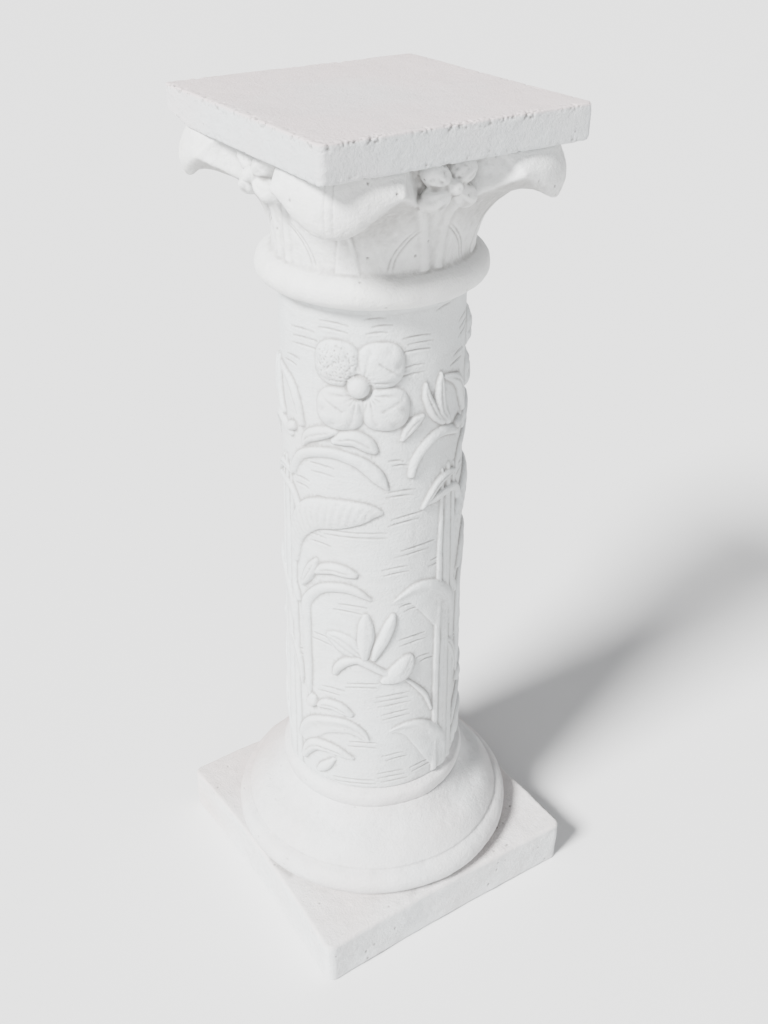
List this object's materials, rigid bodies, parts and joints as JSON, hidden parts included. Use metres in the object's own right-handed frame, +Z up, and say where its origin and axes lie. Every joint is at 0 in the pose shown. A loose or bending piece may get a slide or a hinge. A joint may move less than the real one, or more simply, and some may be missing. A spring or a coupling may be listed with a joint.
{
  "type": "decorative column",
  "caption": "Square-topped plaster column with a leafy capital, a round shaft carved with vines and flowers, a moulded round base and a square plinth.",
  "frame": {"origin": "middle of the plinth's underside, on the ground", "axes": "+Z up along the column's axis; the slabs' sides lie along X and Y; the picture looks at the corner between -X and -Y"},
  "size_m": [0.296, 0.296, 0.8],
  "materials": {
    "plinth_plaster": "matte painted plaster, dusty",
    "base_plaster": "matte painted plaster, smooth",
    "shaft_plaster": "matte painted plaster, carved",
    "capital_plaster": "matte painted plaster, carved",
    "abacus_plaster": "matte painted plaster with rough edges"
  },
  "bodies": {
    "root": {"plinth": "plinth_plaster", "base": "base_plaster", "shaft": "shaft_plaster", "capital": "capital_plaster", "abacus": "abacus_plaster"}
  },
  "joints": []
}
